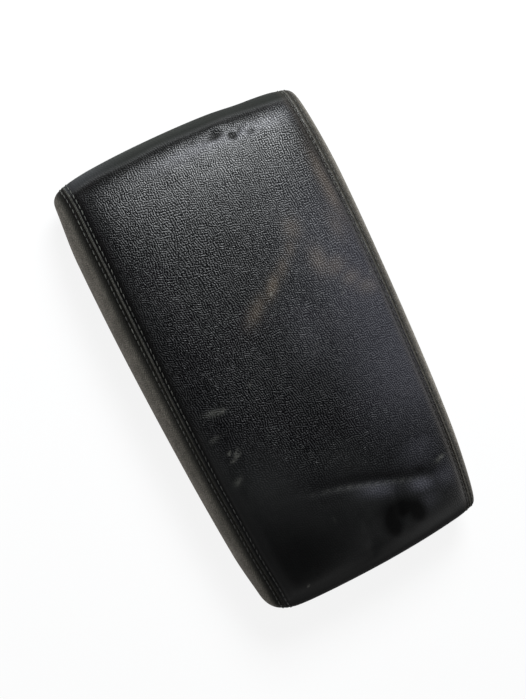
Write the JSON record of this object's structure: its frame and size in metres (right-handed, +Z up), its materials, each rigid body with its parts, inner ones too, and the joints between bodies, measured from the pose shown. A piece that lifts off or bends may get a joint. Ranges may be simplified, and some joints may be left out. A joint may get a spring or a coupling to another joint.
{
  "type": "car centre armrest",
  "caption": "Padded leather armrest lid with sewn side panels, moulded carrier and lower cover, rear hinge to the console and a front finger latch.",
  "frame": {"origin": "middle of the bottom of the closed armrest", "axes": "+Z up, +Y towards the hinged rear, +X to the armrest's right"},
  "size_m": [0.1816, 0.3157, 0.056],
  "materials": {
    "leather_top": "dark grained leather, worn smooth towards the front",
    "leather_side": "matt olive-grey grained leather",
    "foam": "moulded soft foam",
    "carrier_plastic": "unpainted moulding",
    "cover_plastic": "fine spark-eroded grain",
    "screw_steel": "zinc plated",
    "staple_steel": "galvanised wire",
    "stop_rubber": "moulded rubber",
    "hinge_steel": "zinc plated pressed steel",
    "pin_steel": "bright steel",
    "latch_plastic": "glass-filled plastic"
  },
  "bodies": {
    "console_leaf": {"hinge_console_leaf": "hinge_steel", "hinge_pin": "pin_steel"},
    "lid": {"top_panel": "leather_top", "side_panel_left": "leather_side", "side_panel_right": "leather_side", "foam_pad": "foam", "carrier": "carrier_plastic", "lower_cover": "cover_plastic", "cover_screws": "screw_steel", "staples": "staple_steel", "rubber_stop_front_left": "stop_rubber", "rubber_stop_front_right": "stop_rubber", "rubber_stop_rear_left": "stop_rubber", "rubber_stop_rear_right": "stop_rubber", "hinge_lid_leaf": "hinge_steel", "hinge_backing_plate": "hinge_steel", "hinge_screws": "screw_steel", "latch_housing": "latch_plastic", "latch_pin": "pin_steel", "latch_pin_clip": "pin_steel", "latch_spring": "pin_steel", "latch_screws": "screw_steel"},
    "latch": {"latch_lever": "latch_plastic"}
  },
  "joints": [
    {"name": "lid_hinge", "type": "hinge", "parent": "console_leaf", "child": "lid", "pos_m": [0, 0.149, 0.0035], "axis": [-1, 0, 0], "range_deg": [0, 95]},
    {"name": "latch_pivot", "type": "hinge", "parent": "lid", "child": "latch", "pos_m": [0, -0.1265, 0.017], "axis": [-1, 0, 0], "range_deg": [0, 10], "stiffness_Nm_per_rad": 0.2, "springref_deg": -8.59, "deforming": ["latch_spring"]}
  ]
}
